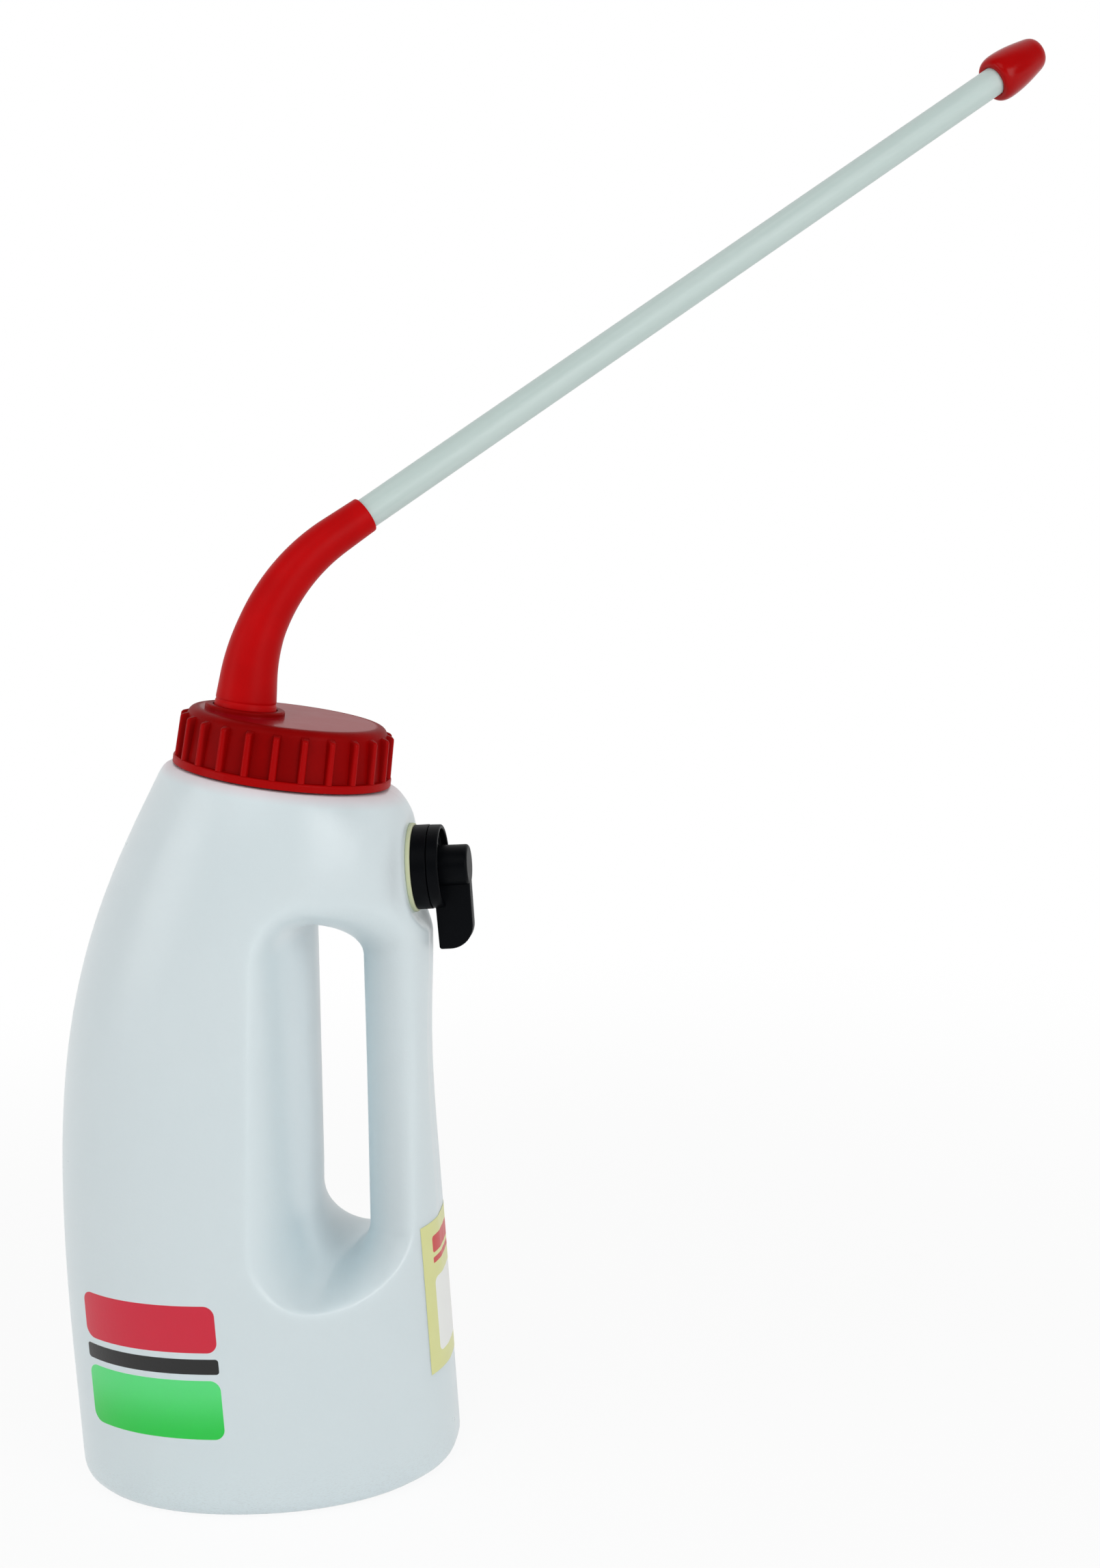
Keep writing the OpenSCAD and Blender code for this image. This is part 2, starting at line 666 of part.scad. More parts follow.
// Spring under the screw's head that keeps the cup against its seals
module thrust_spring() {
    sides = 6;
    steps = 10;
    pitch = (spring_length - wire_d) / spring_turns;
    z0 = hub_z - spring_length + wire_d / 2;
    n = spring_turns * steps;
    points = [for (i = [0:n], j = [0:sides - 1]) let (a = 360 * i / steps, b = 360 * j / sides,
        r = spring_r - wire_d / 2 + wire_d / 2 * cos(b))
        [r * cos(a), r * sin(a), z0 + pitch * i / steps + wire_d / 2 * sin(b)]];
    skin = [for (i = [0:n - 1], j = [0:sides - 1]) let (a = i * sides + j, b = i * sides + (j + 1) % sides)
        each [[a, b, b + sides], [a, b + sides, a + sides]]];
    caps = [for (j = [1:sides - 2]) each [[0, j + 1, j], [n * sides, n * sides + j, n * sides + j + 1]]];
    color("#b9bcc0")
    at_valve()
        polyhedron(points, concat(skin, caps), convexity = 6);
}

module spring_washer() {
    color("#b9bcc0")
    at_valve()
        translate([0, 0, spring_washer_z])
            difference() {
                cylinder(h = 1, r = spring_r + 1);
                translate([0, 0, -1])
                    cylinder(h = 3, r = screw_r + 0.1);
            }
}

module lever_screw() {
    head_h = 2.4;
    color("#b9bcc0")
    at_valve()
        difference() {
            union() {
                translate([0, 0, spring_washer_z - head_h])
                    cylinder(h = head_h, r = 2 * screw_r);
                translate([0, 0, spring_washer_z - 1])
                    cylinder(h = screw_end_z - spring_washer_z + 1, r = screw_r);
            }
            translate([-0.5, -3 * screw_r, spring_washer_z - head_h - 1])
                cube([1, 6 * screw_r, 2]);
        }
}

bottle();
screw_cap();
cap_gasket();
elbow();
probe_tube();
bulb_tip();
valve_body();
valve_gasket();
valve_washer();
valve_nut();
selector_lever();
port_seal();
stem_oring();
thrust_spring();
spring_washer();
lever_screw();
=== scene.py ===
# Livestock drencher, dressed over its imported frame: sizes here are in millimetres, meshes in metres
import math
import bpy
import numpy as np
from mathutils import Matrix, Vector


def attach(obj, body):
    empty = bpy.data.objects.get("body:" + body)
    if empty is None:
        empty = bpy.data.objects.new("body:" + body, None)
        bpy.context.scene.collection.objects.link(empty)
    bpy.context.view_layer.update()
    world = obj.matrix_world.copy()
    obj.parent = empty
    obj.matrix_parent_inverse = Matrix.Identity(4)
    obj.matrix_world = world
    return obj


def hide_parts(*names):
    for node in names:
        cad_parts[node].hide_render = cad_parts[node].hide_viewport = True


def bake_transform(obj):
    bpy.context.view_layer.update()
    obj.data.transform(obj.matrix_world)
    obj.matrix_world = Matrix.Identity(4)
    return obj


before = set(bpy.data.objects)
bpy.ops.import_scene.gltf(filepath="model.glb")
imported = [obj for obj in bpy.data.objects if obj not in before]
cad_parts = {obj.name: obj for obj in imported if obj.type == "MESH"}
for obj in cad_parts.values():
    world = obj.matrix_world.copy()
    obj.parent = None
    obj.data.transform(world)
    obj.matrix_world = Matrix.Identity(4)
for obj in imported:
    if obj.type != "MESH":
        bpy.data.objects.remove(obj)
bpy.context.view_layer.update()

# Bottle: the four litre shell that holds the dose, blow-moulded in milky polyethylene.
# The grip is moulded through it, the two halves of the mould leave a fine ridge round
# the middle, and the front has a plain screen print in three colours.
body_length, body_width, wall, base_round = 183.0, 130.0, 2.2, 10.0
front_x, rear_x = -body_length / 2 - 0.5, body_length / 2 - 1
lean_from, rear_swell, valve_height = 60.0, 6.0, 285.5
valve_seat = rear_x - 1.2
neck_height, neck_tilt, neck_round = 333.0, math.radians(11.8), 42.3
neck_middle = (0.175 * body_length, neck_height)
neck_across = np.array([math.cos(neck_tilt), -math.sin(neck_tilt)])
neck_along = np.array([math.sin(neck_tilt), math.cos(neck_tilt)])
neck_foot, shoulder_round = np.array(neck_middle) - 0.12 * neck_along, neck_round + 7.65
foot_front = neck_foot - shoulder_round * neck_across
foot_rear = neck_foot + shoulder_round * neck_across


def bezier(points, steps):
    p = [np.array(q, float) for q in points]
    t = np.linspace(0, 1, steps + 1)[:, None]
    return (1 - t) ** 3 * p[0] + 3 * t * (1 - t) ** 2 * p[1] + 3 * t * t * (1 - t) * p[2] + t ** 3 * p[3]


# Outline in the symmetry plane
crown = foot_front - [10.35, 10.85]
lean = crown[1] - lean_from
front_curve = bezier([(front_x, lean_from), (front_x, lean_from + 0.535 * lean),
                      (front_x + 0.29 * (crown[0] - front_x), lean_from + 0.727 * lean), crown], 40)
crown_curve = bezier([crown, crown + [3.5, 5.6], foot_front - [5, 0.2], foot_front], 8)
swell = np.array([rear_x + rear_swell, valve_height - 22])
swell_from = 0.56 * valve_height
rise, drop = swell[1] - swell_from, foot_rear[1] - swell[1]
rear_low = bezier([(rear_x, swell_from), (rear_x, swell_from + 0.58 * rise),
                   (swell[0] - 1, swell_from + 0.67 * rise), swell], 24)
rear_top = bezier([swell, swell + [0, 0.55 * drop], (swell[0] - 5, foot_rear[1] - 5), foot_rear], 20)
half_body = body_width / 2
side_curve = bezier([(half_body, 0.5 * neck_height), (half_body, 0.77 * neck_height),
                     (half_body - 5, 0.92 * neck_height), (shoulder_round, neck_foot[1])], 30)
front_line = np.vstack([[[front_x, 0]], front_curve, crown_curve[1:]])
rear_line = np.vstack([[[rear_x, 0]], rear_low, rear_top[1:]])
side_line = np.vstack([[[half_body, 0]], side_curve])


def drawn_in(z, inset):
    r = base_round - inset
    low = np.clip(r - (z - inset), 0, r)
    return inset + r - np.sqrt(np.maximum(r * r - low * low, 0))


def slant(v, inset):
    zf = np.maximum(v * (foot_front[1] - inset), inset)
    zr = np.maximum(v * (foot_rear[1] - inset), inset)
    xf = np.interp(zf, front_line[:, 1], front_line[:, 0]) + drawn_in(zf, inset)
    xr = np.interp(zr, rear_line[:, 1], rear_line[:, 0]) - drawn_in(zr, inset)
    return xf, zf, xr, zr


def half_width(x, z, inset):
    low, high = np.zeros_like(x), np.ones_like(x)
    for turn in range(18):
        v = (low + high) / 2
        xf, zf, xr, zr = slant(v, inset)
        over = (xr - xf) * (z - zf) - (zr - zf) * (x - xf) > 0
        low, high = np.where(over, v, low), np.where(over, high, v)
    xf, zf, xr, zr = slant(v, inset)
    u = 2 * (x - xf) / (xr - xf) - 1
    rear_power = np.interp(v, [0.45, 0.85, 1.0], [2.1, 1.85, 2.0])
    power = np.where(u < 0, 2.1 - 0.1 * v, rear_power)
    level = v * neck_foot[1]
    wide = np.interp(level, side_line[:, 1], side_line[:, 0]) - drawn_in(level, inset)
    return wide * np.maximum(1 - np.minimum(np.abs(u), 1) ** power, 0) ** (1 / power)


# Finger gap, and the outline's points above and below it
grip_round, grip_deep, grip_lean, grip_flat = 14.5, 21.5, math.radians(3), 22.0
grip_below, grip_above = 62, 65.5
grip_middle = np.array([rear_x - 45.0, 186.0])
grip_up = np.array([math.sin(grip_lean), math.cos(grip_lean)])
grip_over = np.array([math.cos(grip_lean), -math.sin(grip_lean)])
grip_foot, grip_top = grip_middle - grip_below * grip_up, grip_middle + grip_above * grip_up
corner = np.radians([0, 15, 30, 45, 60, 75])
corner_x, corner_z = base_round * (1 - np.cos(corner)), base_round * (1 - np.sin(corner))
foot_drop = grip_foot[1] - base_round
under = [(front_x, grip_foot[1] - foot_drop * i / 10) for i in range(10)]
under += [(front_x + a, b) for a, b in zip(corner_x, corner_z)]
under += [(x, 0) for x in np.linspace(front_x + base_round + 1.5, rear_x - base_round - 1.5, 17)]
under += [(rear_x - a, b) for a, b in reversed(list(zip(corner_x, corner_z)))]
under += [(rear_x, base_round + foot_drop * i / 10) for i in range(1, 10)]
under_seat = np.arange(valve_height - 32, valve_height - 23, 2)
over = [np.array([np.interp(z, rear_low[:, 1], rear_low[:, 0]), z]) for z in under_seat]
over += list(rear_top) + [foot_rear + (foot_front - foot_rear) * i / 9 for i in range(1, 9)]
over += list(crown_curve[::-1]) + [p for p in front_curve[38:0:-1] if p[1] > grip_top[1] + 3]


def bearing(aim, middle):
    angle = math.atan2(aim[1] - middle[1], aim[0] - middle[0]) + grip_lean
    return angle if angle > 0 else angle + 2 * math.pi


# Sections that run once round the gap, each from the gap over the lip to the seam
stops = [(0.0, i / 16, None) for i in range(17)]
stops += [(min(bearing(p, grip_top), math.pi), 1.0, p) for p in over]
stops += [(math.pi, 1 - i / 16, None) for i in range(16)]
stops += [(max(bearing(p, grip_foot), math.pi), 0.0, p) for p in under]
scoop_steps = np.array([0, 0.004, 0.02, 0.06, 0.13, 0.24, 0.38, 0.54, 0.7, 0.85, 0.95, 1])
body_steps = np.array([0.05, 0.12, 0.21, 0.31, 0.42, 0.53, 0.63, 0.72, 0.8, 0.865,
                       0.915, 0.952, 0.977, 0.991, 1])


def inside(p, inset):
    over_neck = (p - neck_foot) @ neck_along + inset
    xf = np.interp(p[1], front_line[:, 1], front_line[:, 0]) + drawn_in(p[1], inset)
    xr = np.interp(p[1], rear_line[:, 1], rear_line[:, 0]) - drawn_in(p[1], inset)
    return p[1] >= inset and over_neck <= 0 and xf <= p[0] <= xr


grip_rear_room, grip_top_sag, rim_gap, seam_half = 1.3, 3.2, 0.62, 0.45
lip_rear, lip_front, lip_front_draw, lip_above, lip_below = 39.8, 30, 5.4, 31, 29
seat_round, seat_step = 21.4, 8.6


def bottle_rings(inset, ridge):
    rings = []
    for angle, share, aim in stops:
        middle = grip_foot + share * (grip_top - grip_foot)
        rearward, upward = math.cos(angle), math.sin(angle)
        away = rearward * grip_over + upward * grip_up
        tall = grip_round if upward > 0 else grip_deep
        wide = grip_round + (grip_rear_room if rearward > 0 else 0)
        hole = middle + (wide + inset) * rearward * grip_over + (tall + inset) * upward * grip_up
        hole = hole - share * grip_top_sag * rearward * grip_up
        across = lip_rear - 0.8 * inset if rearward > 0 else lip_front - lip_front_draw * share + 0.8 * inset
        upright = 0.8 * inset + (lip_above if upward > 0 else lip_below)
        lip = middle + across * rearward * grip_over + upright * upward * grip_up
        line = away if aim is None else (aim - lip) / np.linalg.norm(aim - lip)
        near, far = 0.0, 400.0
        for turn in range(26):
            half = (near + far) / 2
            near, far = (half, far) if inside(lip + half * line, inset) else (near, half)
        rim = lip + max(near - rim_gap, 0.5) * line
        if rim[1] < 0.5 + inset:
            rim = np.array([rim[0], inset])
        full = 1.5 + 0.9 * rearward if rearward > 0 else 1.5 - 0.3 * rearward
        full += 0.75 * max(upward, 0) ** 2 if share == 1 else 0
        scoop = hole + scoop_steps[:, None] * (lip - hole)
        lip_y = half_width(lip[:1], lip[1:], inset)[0]
        flat_y = grip_flat * (0.5 - 0.4 * rearward + (0.2 * upward if upward < 0 else 0.1))
        scoop_y = flat_y + (lip_y - flat_y) * (1 - (1 - scoop_steps) ** full) ** (1 / full)
        body = lip + body_steps[:, None] * (rim - lip)
        body_y = np.maximum(half_width(body[:, 0], body[:, 1], inset), 1.0)
        fall = max((lip_y - body_y[2]) / np.linalg.norm(body[2] - lip), 0)
        ease = (2 + 4 * share) * max(rearward, 0) + 10 * share * max(upward, 0) ** 2
        eased = fall * ease / (fall * ease + 2 * lip_y)
        back, ahead = np.linalg.norm(lip - scoop, axis=1), np.linalg.norm(body - lip, axis=1)
        scoop_y = scoop_y * (1 - eased * (np.hypot(back, ease) - back) / max(ease, 0.01))
        body_y = body_y * (1 - eased * (np.hypot(ahead, ease) - ahead) / max(ease, 0.01))
        flat = np.vstack([[hole, hole], scoop, body])
        y = np.concatenate([[0, 0.6 * flat_y], scoop_y, body_y])
        beside, crest = rim + 0.02 * line, rim + ridge * line
        one = np.column_stack([flat[:, 0], y, flat[:, 1]])
        seam = np.array([[beside[0], seam_half, beside[1]], [crest[0], 0.0, crest[1]],
                         [beside[0], -seam_half, beside[1]]])
        if rim[1] <= inset:
            seam[:, 2] = inset
        rings.append(np.vstack([one, seam, (one * [1, -1, 1])[:0:-1]]))
    rings = np.array(rings)
    rho = np.hypot(rings[..., 1], rings[..., 2] - valve_height)
    seat = np.clip((rho - seat_round - inset) / seat_step, 0, 1)
    seat = np.where(rings[..., 0] > 50, seat * seat * (3 - 2 * seat), 1)
    rings[..., 0] = (valve_seat - 1.15 * inset) * (1 - seat) + rings[..., 0] * seat
    return rings


def ring_skin(name, rings):
    bpy.ops.object.select_all(action="DESELECT")
    bpy.ops.mesh.primitive_grid_add(x_subdivisions=rings.shape[1], y_subdivisions=rings.shape[0])
    piece = bpy.context.object
    piece.name = piece.data.name = name
    closed = np.pad(0.001 * rings, ((0, 1), (0, 1), (0, 0)), mode="wrap")
    piece.data.vertices.foreach_set("co", closed.astype(np.float32).ravel())
    while piece.data.uv_layers:
        piece.data.uv_layers.remove(piece.data.uv_layers[0])
    bpy.ops.object.mode_set(mode="EDIT")
    bpy.ops.mesh.select_all(action="SELECT")
    bpy.ops.mesh.remove_doubles(threshold=0.000002)
    bpy.ops.mesh.delete_loose()
    bpy.ops.mesh.select_all(action="SELECT")
    bpy.ops.mesh.normals_make_consistent(inside=False)
    bpy.ops.object.mode_set(mode="OBJECT")
    bpy.ops.object.shade_smooth()
    return piece


def alone(piece):
    bpy.ops.object.select_all(action="DESELECT")
    piece.select_set(True)
    bpy.context.view_layer.objects.active = piece


def work(piece, kind, **settings):
    alone(piece)
    change = piece.modifiers.new(kind.lower(), kind)
    for name, value in settings.items():
        setattr(change, name, value)
    bpy.ops.object.modifier_apply(modifier=change.name)


def shape_with(piece, tool, operation):
    work(piece, "BOOLEAN", operation=operation, solver="EXACT", object=tool)
    bpy.data.objects.remove(tool)


def turned(name, profile, place, angles, push=None):
    profile = np.array(profile, float)
    rings = []
    for angle in angles:
        r = profile[:, 0] + (push(angle, profile) if push else 0)
        local = np.column_stack([r * math.cos(angle), r * math.sin(angle), profile[:, 1], np.ones(len(r))])
        rings.append((local @ np.array(place).T)[:, :3])
    return ring_skin(name, np.array(rings))


def around(steps):
    return np.linspace(0, 2 * math.pi, steps, endpoint=False)


def plug(radius, low, high):
    return [(0, low), (radius, low), (radius, high), (0, high)]


neck_place = Matrix.Translation((neck_middle[0], 0, neck_middle[1])) @ Matrix.Rotation(neck_tilt, 4, "Y")
valve_place = Matrix.Translation((valve_seat, 0, valve_height)) @ Matrix.Rotation(math.pi / 2, 4, "Y")

# Shell and lining, open at the neck and at the valve
bottle = ring_skin("bottle_shell", bottle_rings(0.0, 0.3))
work(bottle, "SUBSURF", levels=1, render_levels=1)
lining = ring_skin("bottle_lining", bottle_rings(wall, 0.0))
bpy.ops.object.mode_set(mode="EDIT")
bpy.ops.mesh.select_all(action="SELECT")
bpy.ops.mesh.flip_normals()
bpy.ops.object.mode_set(mode="OBJECT")
alone(bottle)
lining.select_set(True)
bpy.ops.object.join()
mouth_hole = turned("mouth_hole", plug(neck_round - 1.7, -14, 12), neck_place, around(128))
shape_with(bottle, mouth_hole, "DIFFERENCE")
valve_bore = 15.5
valve_hole = turned("valve_hole", plug(valve_bore, -14, 12), valve_place, around(96))
shape_with(bottle, valve_hole, "DIFFERENCE")

# Neck with its thread
thread_pitch, thread_start, thread_turns, thread_height = 6, 4.5, 1.75, 1.25


def neck_thread(angle, profile):
    r, h = profile[:, 0], profile[:, 1]
    raised = np.zeros_like(r)
    for lap in range(3):
        turn = angle / (2 * math.pi) + lap
        fade = np.clip(min(turn, thread_turns - turn) / 0.08, 0, 1)
        flank = 1.9 - 1.15 * np.abs(h - thread_start - thread_pitch * turn)
        raised = np.maximum(raised, fade * np.clip(flank, 0, thread_height))
    return np.where(r > neck_round - 0.1, raised, 0)


neck_wall, neck_low, neck_top = 2.7, -4.4, 22
neck_inside = neck_round - neck_wall
neck_profile = [(neck_inside, 21.2), (neck_inside, neck_low), (neck_round - 0.5, neck_low)]
neck_profile += [(neck_round, h) for h in np.linspace(neck_low, 21.3, 70)]
neck_profile += [(neck_round - 0.25, 21.75), (neck_round - 0.8, neck_top), (neck_round - 2.2, neck_top),
                 (neck_round - 2.6, 21.7)]
neck = turned("neck", neck_profile, neck_place, around(160), neck_thread)
shape_with(bottle, neck, "UNION")
alone(bottle)
bpy.ops.object.shade_smooth_by_angle(angle=math.radians(38))


class Shade:
    # One socket of a finish: sums with it add Math nodes, and node() adds any other
    def __init__(self, tree, socket):
        self.tree, self.socket = tree, socket

    def node(self, kind, settings, sockets, out=0):
        made = self.tree.nodes.new("ShaderNode" + kind)
        for name, value in settings.items():
            setattr(made, name, value)
        for name, value in sockets.items():
            if isinstance(value, Shade):
                self.tree.links.new(value.socket, made.inputs[name])
            else:
                made.inputs[name].default_value = value
        return Shade(self.tree, made.outputs[out])

    def math(self, operation, first, second=0.0):
        return self.node("Math", {"operation": operation}, {0: first, 1: second})

    def __add__(self, other):
        return self.math("ADD", self, other)

    def __sub__(self, other):
        return self.math("SUBTRACT", self, other)

    def __rsub__(self, other):
        return self.math("SUBTRACT", other, self)

    def __mul__(self, other):
        return self.math("MULTIPLY", self, other)

    __radd__, __rmul__ = __add__, __mul__

    def size(self):
        return self.math("ABSOLUTE", self)

    def fade(self, none, full):
        return self.node("MapRange", {"interpolation_type": "SMOOTHSTEP"}, {0: self, 1: none, 2: full})

    def tint(self, plain, tone):
        return self.node("Mix", {"data_type": "RGBA"}, {0: self, 6: plain, 7: tone}, out=2)

    def noise(self, scale, detail=2.0, rough=0.5):
        grain = {"Vector": self, "Scale": scale, "Detail": detail, "Roughness": rough}
        return self.node("TexNoise", {}, grain)

    def vector(self, operation, other=(0, 0, 0), out=0):
        return self.node("VectorMath", {"operation": operation}, {0: self, 1: other}, out)

    def part(self, axis):
        return self.node("SeparateXYZ", {}, {0: self}, out="XYZ".index(axis))

    def stretch(self, scale, turn=(0, 0, 0), move=(0, 0, 0)):
        return self.node("Mapping", {"vector_type": "TEXTURE"}, {0: self, 1: move, 2: turn, 3: scale})

    def bump(self, strength, depth):
        return self.node("Bump", {}, {"Height": self, "Strength": strength, "Distance": depth})


def finish(name, **constants):
    material = bpy.data.materials.new(name)
    material.use_nodes = True
    tree = material.node_tree
    for socket, value in constants.items():
        label = socket.replace("_", " ").title().replace("Ior", "IOR")
        tree.nodes["Principled BSDF"].inputs[label].default_value = value
    coordinates = tree.nodes.new("ShaderNodeTexCoord")
    return material, Shade(tree, coordinates.outputs["Object"])


def coat(material, **sockets):
    shader = material.node_tree.nodes["Principled BSDF"]
    for socket, shade in sockets.items():
        material.node_tree.links.new(shade.socket, shader.inputs[socket.replace("_", " ").title()])


def rounded_block(across, up, middle, half, corner):
    x = (across * 1000 - middle[0]).size() - (half[0] - corner)
    z = (up * 1000 - middle[1]).size() - (half[1] - corner)
    x, z = x.math("MAXIMUM", x, 0.0), z.math("MAXIMUM", z, 0.0)
    return x.math("SQRT", x * x + z * z).fade(corner + 0.12, corner - 0.12)


# Milky plastic, scuffed at the foot, with a painted pink reflection of the red cap just under it and the
# print in front
neck_axis = (neck_along[0], 0, neck_along[1])


def above_neck(place):
    return place.vector("DOT_PRODUCT", neck_axis, "Value") * 1000 - float(neck_along @ np.array(neck_middle))


milky, place = finish("milky_polyethylene", subsurface_weight=0.6, subsurface_radius=(1, 1, 1),
                      subsurface_scale=0.008, ior=1.5)
cloud = place.noise(14, 3)
skin = cloud.tint((0.73, 0.865, 0.915, 1), (0.765, 0.89, 0.935, 1))
foot_wear = place.part("Z").fade(0.03, 0.0) * place.stretch((1, 1, 0.12)).noise(700, 3).fade(0.52, 0.66)
skin = (foot_wear * 0.35).tint(skin, (0.48, 0.52, 0.53, 1))
# Painted reflection: the shoulder just under the cap is painted pink in place of the red cap's glow on it
painted_cap_reflection = above_neck(place).fade(-7, -0.5)
skin = (painted_cap_reflection * 0.42).tint(skin, (0.86, 0.42, 0.46, 1))
near_side = place.part("Y").fade(-0.02, -0.03)
across, up = place.part("X"), place.part("Z")
print_middle, print_half = -38, 34
red_block = rounded_block(across, up, (print_middle, 92), (print_half, 11), 5) * near_side
black_bar = rounded_block(across, up, (print_middle, 74.5), (print_half, 3.6), 1.5) * near_side
green_block = rounded_block(across, up, (print_middle, 54), (print_half, 14), 5) * near_side
skin = red_block.tint(skin, (0.68, 0.004, 0.034, 1))
skin = black_bar.tint(skin, (0.001, 0.0012, 0.0014, 1))
green = up.fade(0.04, 0.068).tint((0.004, 0.62, 0.055, 1), (0.1, 0.86, 0.22, 1))
skin = green_block.tint(skin, green)
coat(milky, base_color=skin, roughness=0.25 + 0.1 * place.noise(60, 3) + 0.2 * foot_wear,
     normal=(place.noise(650, 2) + 0.35 * place.noise(160, 2)).bump(0.25, 0.0002))
bottle.data.materials.clear()
bottle.data.materials.append(milky)
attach(bottle, "bottle_body")
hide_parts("bottle")

# Rear label: a pale yellow vinyl sticker rolled on round the back of the bottle under the grip.
# It is printed with a white panel and two red bars, and its glue holds it.
label_wide, label_tall, label_up, label_out = 0.05, 0.071, 0.0855, 0.12
bpy.ops.object.select_all(action="DESELECT")
bpy.ops.mesh.primitive_grid_add(x_subdivisions=60, y_subdivisions=72, size=1)
sticker = bpy.context.object
sticker.name = sticker.data.name = "rear_label"
bpy.ops.object.mode_set(mode="EDIT")
bpy.ops.mesh.select_all(action="SELECT")
bpy.ops.transform.resize(value=(label_wide, label_tall, 1), center_override=(0, 0, 0))
bpy.ops.object.mode_set(mode="OBJECT")
grid = np.zeros(len(sticker.data.vertices) * 3, np.float32)
sticker.data.vertices.foreach_get("co", grid)
grid = grid.reshape(-1, 3)
grid = np.column_stack([np.full(len(grid), label_out), grid[:, 0], grid[:, 1] + label_up])
sticker.data.vertices.foreach_set("co", grid.astype(np.float32).ravel())
work(sticker, "SHRINKWRAP", target=bottle, wrap_method="PROJECT", use_project_x=True, use_project_y=False,
     use_project_z=False, use_negative_direction=True, use_positive_direction=False, offset=0.00006,
     wrap_mode="OUTSIDE_SURFACE")
work(sticker, "SOLIDIFY", thickness=0.00012, offset=1)
alone(sticker)
bpy.ops.object.shade_smooth_by_angle(angle=math.radians(38))
vinyl, place = finish("yellow_vinyl", ior=1.48)
across, up = place.part("Y"), place.part("Z")
paper = place.noise(90, 3).tint((0.7, 0.71, 0.29, 1), (0.74, 0.75, 0.35, 1))
panel_half = 17
paper = rounded_block(across, up, (0, 76), (panel_half, 18), 3).tint(paper, (0.86, 0.87, 0.84, 1))
bar_red = (0.6, 0.03, 0.03, 1)
paper = rounded_block(across, up, (0, 110), (panel_half, 4), 1.5).tint(paper, bar_red)
paper = rounded_block(across, up, (0, 102.5), (panel_half, 1.4), 0.6).tint(paper, bar_red)
coat(vinyl, base_color=paper, roughness=0.3 + 0.12 * place.noise(120, 2),
     normal=place.noise(400, 2).bump(0.1, 0.0001))
sticker.data.materials.append(vinyl)
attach(sticker, "bottle_body")

# Valve gasket: a flat ring of cream rubber between the valve's flange and the bottle.
# It is cut from sheet and pressed a little round at its edge by the nut behind.


def fillet(corners, steps=4):
    line = []
    for i, (r, h, soft) in enumerate(corners):
        here = np.array([r, h], float)
        back = np.array(corners[i - 1][:2], float) - here
        ahead = np.array(corners[(i + 1) % len(corners)][:2], float) - here
        if soft == 0:
            line.append(here)
            continue
        back, ahead = back / np.linalg.norm(back), ahead / np.linalg.norm(ahead)
        half = math.acos(np.clip(back @ ahead, -1, 1)) / 2
        off, weight = soft / math.tan(half), math.sin(half)
        a, b = here + off * back, here + off * ahead
        line.append(here + (off + 0.06 * soft) * back)
        for t in np.linspace(0, 1, steps + 1):
            k = np.array([(1 - t) ** 2, 2 * weight * t * (1 - t), t * t])
            line.append((k[0] * a + k[1] * here + k[2] * b) / k.sum())
        line.append(here + (off + 0.06 * soft) * ahead)
    return line


gasket_round, gasket_thick = 20.5, 2
gasket_profile = fillet([(valve_bore, 0, 0.2), (gasket_round, 0, 0.4), (gasket_round, gasket_thick, 0.7),
                         (valve_bore, gasket_thick, 0.2)])
gasket = turned("valve_gasket_ring", gasket_profile, valve_place, around(128))
cream, place = finish("cream_rubber", subsurface_weight=0.15, subsurface_radius=(1, 0.9, 0.6),
                      subsurface_scale=0.002)
coat(cream, base_color=place.noise(60, 4).tint((0.56, 0.59, 0.37, 1), (0.62, 0.65, 0.43, 1)),
     roughness=0.5 + 0.15 * place.noise(200, 2), normal=place.noise(900, 2).bump(0.2, 0.0001))
gasket.data.materials.append(cream)
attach(gasket, "bottle_body")
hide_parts("valve_gasket")

# Valve body: a black moulded flange with a hollow shank through the bottle's wall.
# Its face has the air port and the hub for the lever's screw.
flange_round, flange_face, port_floor, port_reach = 19.5, 9, 6, 10.9
shank_round, shank_inside, shank_end = 15.2, 13, -13
hub_round, hub_end, screw_bore = 5, -2, 2.08
flange_profile = fillet([(screw_bore, flange_face, 0.15), (screw_bore, hub_end, 0.2),
                         (hub_round, hub_end, 0.4), (hub_round, port_floor, 0.4),
                         (shank_inside, port_floor, 0.5),
                         (shank_inside, shank_end, 0.3), (shank_round, shank_end, 0.5),
                         (shank_round, gasket_thick, 0.2), (flange_round, gasket_thick, 0.5),
                         (flange_round, flange_face, 0.45)])
flange = turned("valve_flange", flange_profile, valve_place, around(144))
port_place = valve_place @ Matrix.Translation((0, port_reach, 0))
port = turned("port", plug(1.95, 4, 14), port_place, around(40))
shape_with(flange, port, "DIFFERENCE")
port_seat = turned("port_seat", plug(3.45, 7.7, 14), port_place, around(48))
shape_with(flange, port_seat, "DIFFERENCE")
stem_seat = turned("stem_seat", plug(3.7, 7.5, 14), valve_place, around(48))
shape_with(flange, stem_seat, "DIFFERENCE")
alone(flange)
bpy.ops.object.shade_smooth_by_angle(angle=math.radians(38))
black, place = finish("black_moulding", ior=1.5, specular_ior_level=0.05)
wear_and_painted_highlight = place.noise(45, 4, 0.6).fade(0.55, 0.75)
coat(black, base_color=wear_and_painted_highlight.tint((0.002, 0.0025, 0.0035, 1), (0.0045, 0.005, 0.0065, 1)),
     roughness=0.36 + 0.12 * wear_and_painted_highlight + 0.08 * place.noise(240, 2),
     normal=(place.noise(1500, 2) + 0.5 * place.noise(260, 2)).bump(0.2, 0.00012))
flange.data.materials.append(black)
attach(flange, "bottle_body")
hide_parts("valve_body")

# Fixings behind the flange: a plastic washer and hexagon nut hold it from inside the bottle.
# Two rubber rings seal the port and the screw, and a coil spring under the screw's head
# keeps the lever's cup against them.


